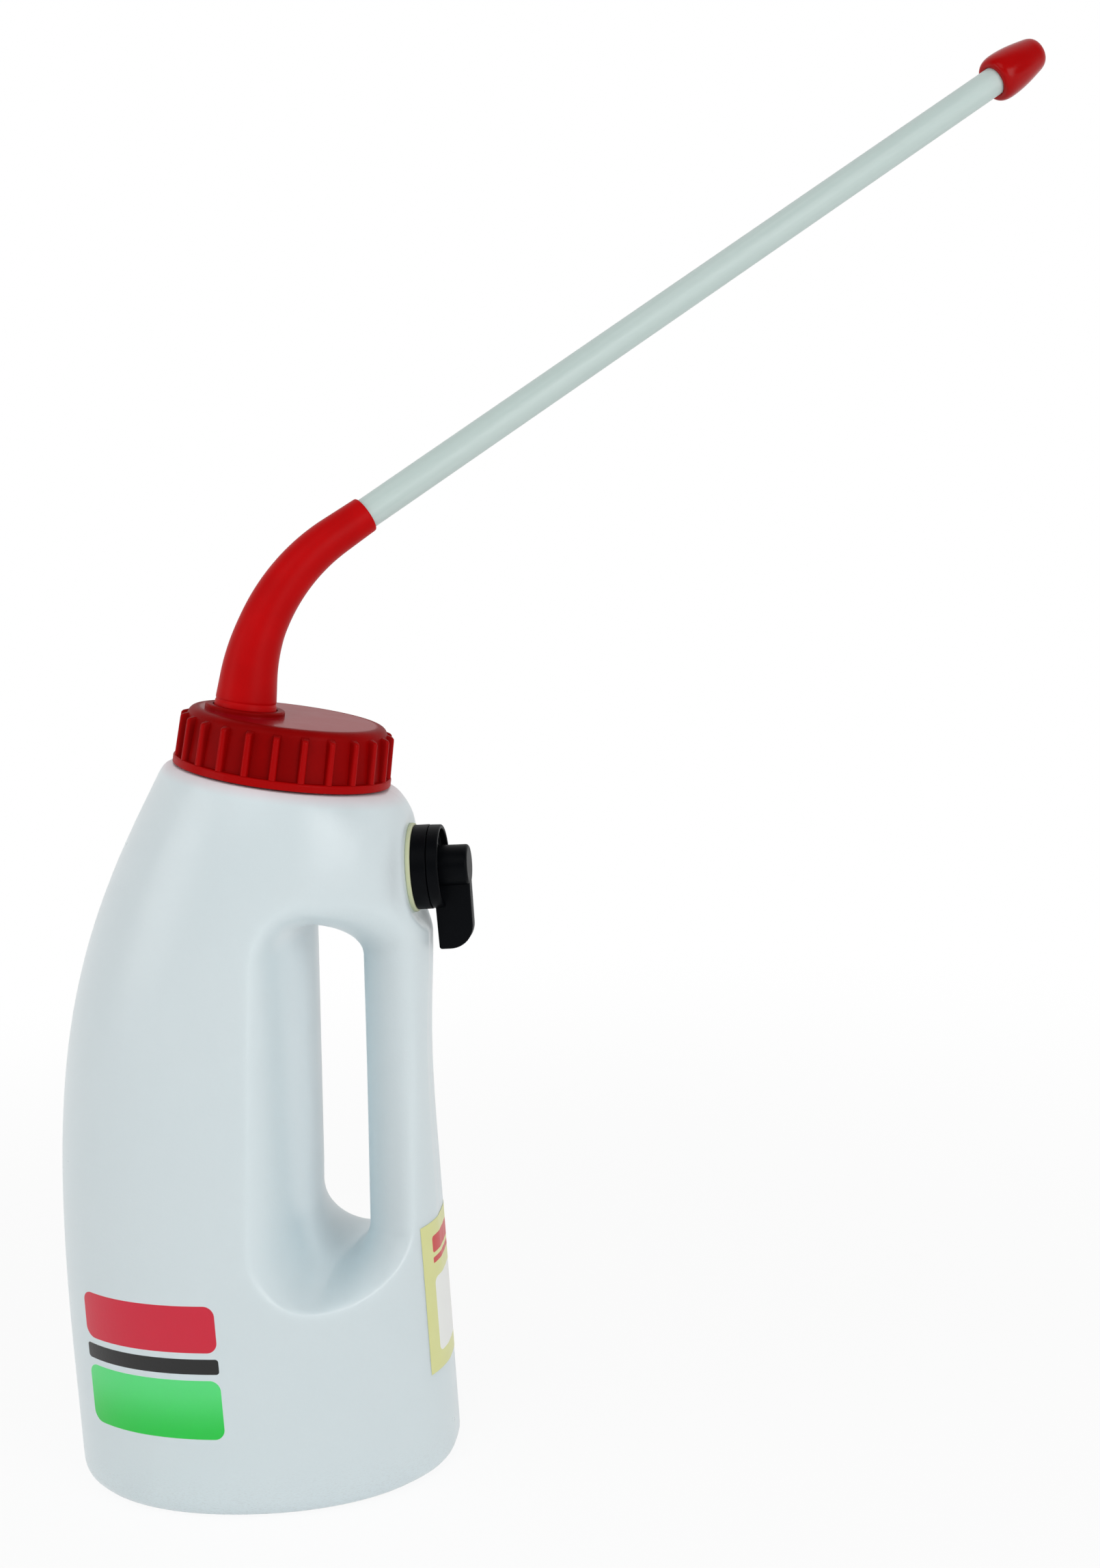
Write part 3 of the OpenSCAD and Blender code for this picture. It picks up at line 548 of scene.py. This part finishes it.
def dress(node, material):
    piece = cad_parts[node]
    if piece.material_slots:
        for held in piece.material_slots:
            held.material = material
    else:
        piece.data.materials.append(material)


rubber, place = finish("black_rubber_ring", specular_ior_level=0.35)
coat(rubber, base_color=place.noise(300, 3).tint((0.014, 0.014, 0.014, 1), (0.03, 0.03, 0.03, 1)),
     roughness=0.6 + 0.15 * place.noise(500, 2), normal=place.noise(1200, 2).bump(0.2, 0.0001))
steel, place = finish("spring_steel", metallic=1.0)
coat(steel, base_color=place.noise(200, 3).tint((0.5, 0.51, 0.53, 1), (0.66, 0.67, 0.68, 1)),
     roughness=0.26 + 0.16 * place.stretch((1, 0.02, 0.02)).noise(90, 3),
     normal=place.stretch((0.05, 1, 1)).noise(1500, 2).bump(0.12, 0.00005))
dress("valve_washer", black)
dress("valve_nut", black)
dress("port_seal", rubber)
dress("stem_oring", rubber)
dress("thrust_spring", steel)
dress("spring_washer", steel)
dress("lever_screw", steel)

# Selector lever: a black moulded cup with a round boss and a thumb blade that hangs from it.
# Three holes of growing size in the cup's floor pass over the port as it is turned.
cup_round, cup_wall, cup_back, cup_floor, cup_front = 19.3, 2, 9.3, 11.1, 14.5
boss_root, boss_round, boss_front = 9.6, 9.5, 26.5
cup_inside = cup_round - cup_wall
cup_profile = fillet([(0, cup_back, 0), (cup_round, cup_back, 0.35), (cup_round - 0.15, cup_front, 0.8),
                      (cup_inside, cup_front, 0.5), (cup_inside, cup_floor, 0.5),
                      (boss_root, cup_floor, 1.6), (boss_round, boss_front, 1.4), (0, boss_front, 0)])
lever = turned("selector_lever_moulding", cup_profile, valve_place, around(160))
blade_deep, blade_thick, blade_long, blade_back = 17.0, 8.0, 38.4, 9.45
bpy.ops.object.select_all(action="DESELECT")
bpy.ops.mesh.primitive_cube_add(size=1)
blade = bpy.context.object
box = np.zeros(24, np.float32)
blade.data.vertices.foreach_get("co", box)
box = box.reshape(-1, 3) * [blade_deep, blade_thick, blade_long]
box = box + [blade_back + blade_deep / 2, 0, -blade_long / 2]
inner_corner = (box[:, 0] < 12) & (box[:, 2] < -30)
box[inner_corner, 0] += 0.8
box = 0.001 * (box + [valve_seat, 0, valve_height])
blade.data.vertices.foreach_set("co", box.astype(np.float32).ravel())
blade.data.update()


def bevel_edges(piece, chosen, width, segments):
    alone(piece)
    bpy.ops.object.mode_set(mode="EDIT")
    bpy.ops.mesh.select_mode(type="EDGE")
    bpy.ops.mesh.select_all(action="DESELECT")
    bpy.ops.object.mode_set(mode="OBJECT")
    spots = piece.data.vertices
    for edge in piece.data.edges:
        a, b = (spots[v].co * 1000 for v in edge.vertices)
        edge.select = chosen(a, b)
    bpy.ops.object.mode_set(mode="EDIT")
    bpy.ops.mesh.bevel(offset=width * 0.001, segments=segments, affect="EDGES", profile=0.5)
    bpy.ops.object.mode_set(mode="OBJECT")


tip = valve_height - blade_long


def at_tip(a, b):
    return abs(a.z - tip) < 0.1 and abs(b.z - tip) < 0.1


def on_side(a, b):
    return abs(abs(a.y) - blade_thick / 2) < 0.01 and abs(b.y - a.y) < 0.01


bevel_edges(blade, lambda a, b: at_tip(a, b) and min(a.x, b.x) > valve_seat + 26, 11, 14)
bevel_edges(blade, lambda a, b: at_tip(a, b) and max(a.x, b.x) < valve_seat + 11, 1.2, 4)
bevel_edges(blade, on_side, 0.7, 3)
shape_with(lever, blade, "UNION")
for number, bore in enumerate((1.56, 2.574, 3.588)):
    turn = math.radians(150 + 60 * number)
    over_port = Vector((port_reach * math.cos(turn), port_reach * math.sin(turn), 0))
    hole_place = valve_place @ Matrix.Translation(over_port)
    hole = turned("metering_hole", plug(bore / 2, 8, 13.4), hole_place, around(32))
    shape_with(lever, hole, "DIFFERENCE")
alone(lever)
bpy.ops.object.shade_smooth_by_angle(angle=math.radians(30))
lever.data.materials.clear()
lever.data.materials.append(black)
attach(lever, "lever")
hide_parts("selector_lever")

# Cap gasket: a flat ring of cream rubber pushed up into the top of the cap.
# It is cut from sheet, and seals on the neck's rim when the cap is screwed down.
dress("cap_gasket", cream)

# Screw cap: injection-moulded red polypropylene with 24 finger ribs over a plain lower ring.
# A low collar and a spigot on its top carry the elbow.
cap_height, ring_height, skirt_round, cap_round = 26.4, 3.6, 47.2, 50.0
cap_ceiling, cap_inside, skirt_draft = 23.8, 44.2, 1.8
skirt = [(skirt_round - skirt_draft * (h - ring_height) / (cap_height - ring_height), h, 0)
         for h in np.linspace(ring_height + 0.7, cap_height - 4.6, 20)]
cap_foot = [(0, cap_ceiling, 0), (cap_inside, cap_ceiling, 0.5), (cap_inside, 0, 0.4), (cap_round, 0, 0.25),
            (cap_round, ring_height, 0.9), (skirt_round, ring_height, 0.5)]
cap_crown = [(skirt_round - skirt_draft, cap_height, 4), (0, cap_height, 0)]
cap_profile = fillet(cap_foot + skirt + cap_crown, 7)
rib_count, rib_round, rib_draft, rib_half, rib_top, rib_end = 24, 49.7, 0.035, 1.75, 21.4, 1.9


def finger_ribs(angle, profile):
    r, h = profile[:, 0], profile[:, 1]
    pitch = 2 * math.pi / rib_count
    off = abs((angle / pitch) % 1 - 0.5) * pitch * skirt_round
    reach = 0.98 * np.maximum(rib_round - rib_draft * (h - ring_height) - r, 0)
    end = np.sqrt(np.clip(1 - (np.maximum(h - rib_top, 0) / rib_end) ** 2, 0, 1))
    across = np.clip(1 - (off / rib_half) ** 3, 0, 1) ** 0.5
    return np.where((r > cap_inside + 0.4) & (h > ring_height - 0.05), reach * end * across, 0)


rib_arc, rib_middle = 12.357, 6.178
rib_steps = np.array([0, 1.2, 2.4, 3.4, 4.0, 4.3, 4.5, 4.7, 4.9, 5.1, 5.35, 5.75])
rib_steps = np.concatenate([rib_steps, [rib_middle], rib_arc - rib_steps[:0:-1]])
rib_steps = rib_steps / rib_arc * 2 * math.pi / rib_count
cap_steps = np.concatenate([rib_steps + i * 2 * math.pi / rib_count for i in range(rib_count)])
cap = turned("screw_cap_moulding", cap_profile, neck_place, cap_steps, finger_ribs)
spout_turn, spout_offset = math.radians(30), 21
spout_place = (neck_place @ Matrix.Rotation(spout_turn, 4, "Z")
               @ Matrix.Translation((-spout_offset, 0, cap_height)))
collar_round, collar_inside, collar_height, spigot_round, spigot_height = 18.1, 14.6, 2.6, 10.5, 14
collar_profile = fillet([(0, -1, 0), (collar_round, -1, 0), (collar_round, collar_height, 0.9),
                         (collar_inside, collar_height, 0.5), (collar_inside, 0, 0), (spigot_round, 0, 0),
                         (spigot_round, spigot_height, 0.8), (0, spigot_height, 0)])
collar = turned("collar", collar_profile, spout_place, around(96))
shape_with(cap, collar, "UNION")
spout_hole = turned("spout_hole", plug(8.5, -6, 20), spout_place, around(72))
shape_with(cap, spout_hole, "DIFFERENCE")
alone(cap)
bpy.ops.object.shade_smooth_by_angle(angle=math.radians(38))
red_cap, place = finish("red_polypropylene", specular_ior_level=0.04, ior=1.5, coat_roughness=0.14)
from_neck = place.vector("SUBTRACT", (0.001 * neck_middle[0], 0, 0.001 * neck_middle[1]))
from_axis = from_neck.vector("CROSS_PRODUCT", neck_axis).vector("LENGTH", out="Value") * 1000
over_neck = above_neck(place)
gloss_and_painted_sheen = over_neck.fade(25.4, 26.2) * over_neck.fade(27.2, 26.6) * from_axis.fade(41.5, 39.5)
# Painted highlight: the ribs' outer faces and the lower ring are painted a lighter red where they stand out,
# and get a little more coat
wear_and_painted_highlight = from_axis.fade(47.4, 49.2)
red = place.noise(38, 4, 0.6).fade(0.3, 0.75).tint((0.23, 0.0003, 0.0004, 1), (0.28, 0.0004, 0.0006, 1))
red = wear_and_painted_highlight.tint(red, (0.37, 0.0008, 0.0012, 1))
# Painted sheen: the glossy top disc is painted a lighter, bluer red in place of its reflection, and also
# gets a real coat
red = gloss_and_painted_sheen.tint(red, (0.31, 0.001, 0.005, 1))
coat(red_cap, base_color=red, roughness=0.42 + 0.1 * place.noise(85, 3),
     coat_weight=gloss_and_painted_sheen * 0.23 + wear_and_painted_highlight * 0.04,
     normal=(place.noise(1100, 2) + 0.6 * place.noise(180, 2)).bump(0.1, 0.0001))
cap.data.materials.clear()
cap.data.materials.append(red_cap)
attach(cap, "cap")
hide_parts("screw_cap")

# Elbow: a tapered bend of soft red rubber pushed over the cap's spigot and the tube's end.
# It flexes so that the tube can be folded down, and shuts the flow when it kinks.
elbow_rise, elbow_radius, elbow_bend, elbow_run = 15.0, 90.0, math.radians(49.8), 18.0
elbow_length = elbow_rise + elbow_radius * elbow_bend + elbow_run


def elbow_middle(s):
    angle = (min(max(s, elbow_rise), elbow_length - elbow_run) - elbow_rise) / elbow_radius
    low, high = min(s - elbow_rise, 0), max(s - elbow_length + elbow_run, 0)
    return (elbow_radius * (1 - math.cos(angle)) + high * math.sin(angle),
            elbow_rise + elbow_radius * math.sin(angle) + low + high * math.cos(angle), angle)


elbow_mouth, elbow_taper, elbow_flare, flare_length = 8.5, 4.1, 1.65, 40
mould_line, line_depth, line_width = 5.2, 0.28, 0.55


def elbow_outside(s):
    flare = elbow_flare * max(0, 1 - s / flare_length) ** 1.1
    r = elbow_mouth + elbow_taper * (1 - s / elbow_length) ** 1.1 + flare
    return r - line_depth * math.exp(-((s - mould_line) / line_width) ** 2)


foot_steps = (0.25, 0.6, 1.2, 2, 3, 4, 4.5, 4.8, 5.0, 5.2, 5.4, 5.6, 5.9, 6.4, 7.2, 8.5, 10, 12)
stations = [(0, elbow_outside(0) - 0.3)]
stations += [(s, elbow_outside(s)) for s in foot_steps]
stations += [(s, elbow_outside(s)) for s in np.linspace(14.5, elbow_length - 1.6, 40)]
mouth, socket_round, socket_deep, spigot_socket = elbow_outside(elbow_length), 7.42, 17.3, 10.75
stations += [(elbow_length - 0.8, mouth + 0.02), (elbow_length - 0.3, mouth - 0.1),
             (elbow_length - 0.06, mouth - 0.35), (elbow_length, mouth - 0.6),
             (elbow_length - 0.05, socket_round + 0.23), (elbow_length - 0.5, socket_round)]
stations += [(elbow_length - deep, socket_round) for deep in (1.2, 8, 17, socket_deep)]
flow_round, flow_taper, flow_length = 5.4, 3.3, 80
stations += [(elbow_length - socket_deep, flow_round + 0.2)]
stations += [(s, flow_round + flow_taper * (elbow_length - socket_deep - s) / flow_length)
             for s in np.linspace(90, 17, 16)]
stations += [(14.4, flow_round + flow_taper)]
stations += [(14.3, spigot_socket), (8, spigot_socket), (0.3, spigot_socket), (0, spigot_socket + 0.25)]
rings = []
for s, r in stations:
    across, up, angle = elbow_middle(s)
    turn = around(64)
    local = np.column_stack([across + r * np.cos(turn) * math.cos(angle), r * np.sin(turn),
                             up - r * np.cos(turn) * math.sin(angle), np.ones(64)])
    rings.append((local @ np.array(spout_place).T)[:, :3])
elbow = ring_skin("rubber_elbow", np.array(rings))
alone(elbow)
bpy.ops.object.shade_smooth_by_angle(angle=math.radians(38))


def red_finish(name, dark, bright, shine, grain, **constants):
    material, place = finish(name, **constants)
    red = place.noise(38, 4, 0.6).fade(0.3, 0.75).tint(dark, bright)
    coat(material, base_color=red, roughness=shine + 0.14 * place.noise(85, 3),
         normal=(place.noise(grain, 2) + 0.6 * place.noise(grain / 6, 2)).bump(0.22, 0.00012))
    return material


red_elbow = red_finish("red_rubber", (0.46, 0.0008, 0.0016, 1), (0.52, 0.001, 0.002, 1), 0.36, 900,
                       specular_ior_level=0.07)
elbow.data.materials.append(red_elbow)
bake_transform(elbow)
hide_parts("elbow")

# Probe tube: a stiff extruded tube of milky polyethylene, cut square and eased at both ends.
# It is pushed into the elbow's mouth and into the bulb.
mouth_x, mouth_z, mouth_angle = elbow_middle(elbow_length)
tube_place = spout_place @ Matrix.Translation((mouth_x, 0, mouth_z)) @ Matrix.Rotation(mouth_angle, 4, "Y")
tube_round, tube_bore, tube_shown, tube_low = 7.15, 5.3, 396.0, -17.0
tube_high = tube_shown + 15.0
tube_rings = np.linspace(tube_low + 8, tube_high - 8, 42)
tube_profile = [(tube_bore, tube_low, 0.3), (tube_round, tube_low, 0.5)]
tube_profile += [(tube_round, h, 0) for h in tube_rings]
tube_profile += [(tube_round, tube_high, 0.5), (tube_bore, tube_high, 0.3)]
tube_profile += [(tube_bore, h, 0) for h in tube_rings[::-1]]
tube = turned("extruded_tube", fillet(tube_profile), tube_place, around(96))
milk_tube, place = finish("tube_polyethylene", subsurface_weight=0.35, subsurface_radius=(1, 1, 1),
                          subsurface_scale=0.004)
tube_turn, tube_foot = tuple(tube_place.to_euler()), tuple(0.001 * tube_place.to_translation())
streak = place.stretch((1, 1, 60), tube_turn, tube_foot).noise(420, 1)
coat(milk_tube, base_color=streak.fade(0.3, 0.7).tint((0.54, 0.65, 0.622, 1), (0.57, 0.675, 0.648, 1)),
     roughness=0.37 + 0.08 * streak, normal=streak.bump(0.06, 0.0001))
tube.data.materials.append(milk_tube)
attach(tube, "probe")
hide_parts("probe_tube")

# Bulb tip: a smooth glossy bulb of red rubber pressed on the tube's end, with the outlet in its nose.
# It is round all over so that it can't hurt the animal's throat.
bulb_round, bulb_length = 11.71, 30.54
outlet_round, bulb_socket, socket_end = 4.5, 7.2, 15
widest = (bulb_round, 0.2 * bulb_length)
cheek = (0.77 * bulb_round, 0.85 * bulb_length)
bulb_side = np.vstack([
    bezier([(0.76 * bulb_round, 0), (0.93 * bulb_round, 0), (bulb_round, 0.08 * bulb_length), widest], 14),
    bezier([widest, (bulb_round, 0.45 * bulb_length), (0.86 * bulb_round, 0.68 * bulb_length),
            cheek], 18)[1:],
    bezier([cheek, (0.7 * bulb_round, 0.97 * bulb_length), (0.6 * bulb_round, bulb_length),
            (outlet_round + 0.4, bulb_length)], 12)[1:]])
bulb_profile = [(outlet_round + 0.1, bulb_length - 0.12), (outlet_round, bulb_length - 0.45),
                (outlet_round, socket_end + 0.2), (outlet_round + 0.2, socket_end),
                (bulb_socket - 0.2, socket_end), (bulb_socket, socket_end - 0.2),
                (bulb_socket, 0.4), (bulb_socket + 0.3, 0.05)]
bulb_profile += [tuple(p) for p in bulb_side]
bulb_place = tube_place @ Matrix.Translation((0, 0, tube_shown))
bulb = turned("bulb", bulb_profile, bulb_place, around(96))
alone(bulb)
bpy.ops.object.shade_smooth_by_angle(angle=math.radians(50))
red_bulb = red_finish("glossy_red_rubber", (0.38, 0.001, 0.0015, 1), (0.44, 0.0015, 0.002, 1), 0.14, 500,
                      specular_ior_level=0.12)
bulb.data.materials.append(red_bulb)
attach(bulb, "probe")
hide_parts("bulb_tip")

# Studio: a white floor that fades into a white surround, soft lamps at the left, at the right
# and in front, and the camera at the photograph's place.
bpy.ops.object.select_all(action="DESELECT")
bpy.ops.mesh.primitive_plane_add(size=30)
floor = bpy.context.object
floor.name = "studio_floor"


def views(place):
    camera, mirror, through = (place.node("LightPath", {}, {}, out="Is " + ray + " Ray")
                               for ray in ("Camera", "Glossy", "Transmission"))
    return camera, place.math("MAXIMUM", place.math("MAXIMUM", camera, mirror), through)


floor_paint, place = finish("floor_paint", roughness=0.9, specular_ior_level=0.0)
tree = floor_paint.node_tree
camera, seen = views(place)
spread = place.vector("LENGTH", out="Value").fade(0.3, 1.1)
white = place.node("Emission", {}, {"Color": (1, 1, 1, 1), "Strength": 1.0})
tree.nodes["Principled BSDF"].inputs["Base Color"].default_value = (0.96, 0.96, 0.96, 1)
painted = Shade(tree, tree.nodes["Principled BSDF"].outputs[0])
mixed = place.node("MixShader", {}, {0: seen * (0.9 + 0.1 * spread), 1: painted, 2: white})
tree.links.new(mixed.socket, tree.nodes["Material Output"].inputs["Surface"])
floor.data.materials.append(floor_paint)

world = bpy.data.worlds.new("studio_surround")
world.use_nodes = True
bpy.context.scene.world = world
tree = world.node_tree
tree.nodes["Background"].inputs["Color"].default_value = (1, 1, 1, 1)
heading = Shade(tree, tree.nodes.new("ShaderNodeTexCoord").outputs["Generated"])
camera, seen = views(heading)
backdrop = heading.part("Y").fade(-0.25, 0.3)
strength = camera + (1 - seen) * 0.47 + (seen - camera) * (0.1 + 0.9 * backdrop)
tree.links.new(strength.socket, tree.nodes["Background"].inputs["Strength"])


def softbox(name, spot, aim, width, power):
    lamp = bpy.data.lights.new(name, "AREA")
    lamp.shape, lamp.size, lamp.size_y, lamp.energy = "RECTANGLE", width, width, power
    stand = bpy.data.objects.new(name, lamp)
    bpy.context.scene.collection.objects.link(stand)
    stand.location = spot
    stand.rotation_euler = (Vector(aim) - Vector(spot)).to_track_quat("-Z", "Y").to_euler()


softbox("left_softbox", (-2.1, -1.1, 0.9), (0.0, 0, 0.25), 1.3, 10.5)
softbox("right_softbox", (2.0, -1.7, 0.9), (0.0, 0, 0.2), 1.4, 22)
softbox("front_softbox", (-0.5, -2.0, 2.0), (0.05, 0, 0.2), 1.6, 11)

eye = bpy.data.cameras.new("photo_camera")
picture_height, focal_pixels, sensor_height = 2296, 2750, 24.0
eye.sensor_fit, eye.sensor_height = "VERTICAL", sensor_height
eye.lens = focal_pixels / picture_height * sensor_height
eye.clip_start = 0.02
tripod = bpy.data.objects.new("photo_camera", eye)
bpy.context.scene.collection.objects.link(tripod)
stand_at, look_at = Vector((0.24356, -0.84277, 0.43413)), Vector((0.15534, 0, 0.32079))
roll = math.radians(-3.83)
aimed = (look_at - stand_at).to_track_quat("-Z", "Y").to_matrix().to_4x4()
tripod.matrix_world = Matrix.Translation(stand_at) @ aimed @ Matrix.Rotation(roll, 4, "Z")
bpy.context.scene.camera = tripod
bpy.context.scene.view_settings.view_transform = "Standard"
